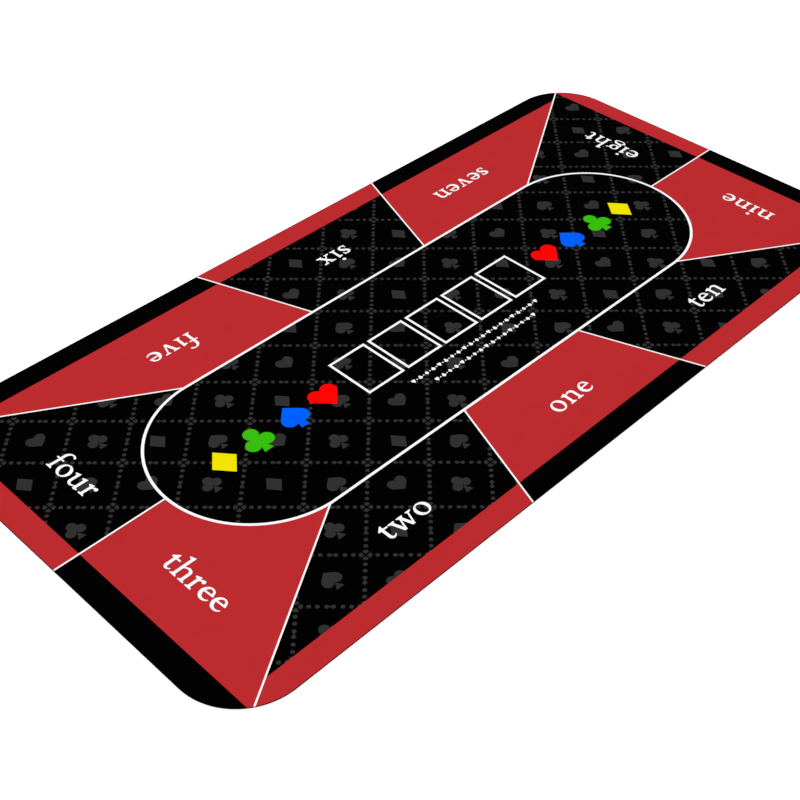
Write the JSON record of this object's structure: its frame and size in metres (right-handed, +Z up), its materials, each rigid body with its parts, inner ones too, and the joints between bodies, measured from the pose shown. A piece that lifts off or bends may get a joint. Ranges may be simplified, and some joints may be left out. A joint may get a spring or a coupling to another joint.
{
  "type": "folding card table top",
  "caption": "Thin tri-fold table top with a printed playing cloth, seat zones, a racetrack line and card boxes; both wings fold in over the middle panel.",
  "frame": {"origin": "on the table the top lies on, under the centre of the opened top", "axes": "+X along the long side, +Y across it towards seats five, six and seven, +Z up out of the playing face"},
  "size_m": [1.8, 0.9, 0.0055],
  "materials": {
    "printed_cloth": "matt printed polyester cloth, black ground with red, grey, white and coloured ink",
    "print_red": "matt red ink in the cloth",
    "print_white": "matt white ink in the cloth",
    "print_grey": "matt dark grey ink in the cloth",
    "print_suit_red": "matt bright red ink in the cloth",
    "print_suit_blue": "matt blue ink in the cloth",
    "print_suit_green": "matt green ink in the cloth",
    "print_suit_yellow": "matt yellow ink in the cloth",
    "edging_tape": "matt black edge tape",
    "hinge_webbing": "matt woven polyester tape",
    "foam_underlay": "matt closed-cell foam",
    "panel_board": "matt white foamed plastic sheet",
    "backing_vinyl": "fine-grained black vinyl sheet",
    "pad_rubber": "matt moulded rubber"
  },
  "bodies": {
    "middle_panel": {"left_hinge_webbing_middle": "hinge_webbing", "middle_backing": "backing_vinyl", "middle_board": "panel_board", "middle_cloth": "printed_cloth", "middle_edging_far": "edging_tape", "middle_edging_near": "edging_tape", "middle_foam": "foam_underlay", "middle_pad_centre": "pad_rubber", "middle_pad_left_far": "pad_rubber", "middle_pad_left_near": "pad_rubber", "middle_pad_right_far": "pad_rubber", "middle_pad_right_near": "pad_rubber", "right_hinge_webbing_middle": "hinge_webbing"},
    "left_wing": {"left_backing": "backing_vinyl", "left_board": "panel_board", "left_cloth": "printed_cloth", "left_edging": "edging_tape", "left_foam": "foam_underlay", "left_hinge_webbing_wing": "hinge_webbing", "left_pad_inner_far": "pad_rubber", "left_pad_inner_near": "pad_rubber", "left_pad_outer_far": "pad_rubber", "left_pad_outer_near": "pad_rubber"},
    "right_wing": {"right_backing": "backing_vinyl", "right_board": "panel_board", "right_cloth": "printed_cloth", "right_edging": "edging_tape", "right_foam": "foam_underlay", "right_hinge_webbing_wing": "hinge_webbing", "right_pad_inner_far": "pad_rubber", "right_pad_inner_near": "pad_rubber", "right_pad_outer_far": "pad_rubber", "right_pad_outer_near": "pad_rubber"}
  },
  "joints": [
    {"name": "left_fold", "type": "hinge", "parent": "middle_panel", "child": "left_wing", "pos_m": [-0.451, 0, 0.00575], "axis": [0, 1, 0], "range_deg": [0, 180]},
    {"name": "right_fold", "type": "hinge", "parent": "middle_panel", "child": "right_wing", "pos_m": [0.451, 0, 0.00575], "axis": [0, -1, 0], "range_deg": [0, 180]}
  ]
}
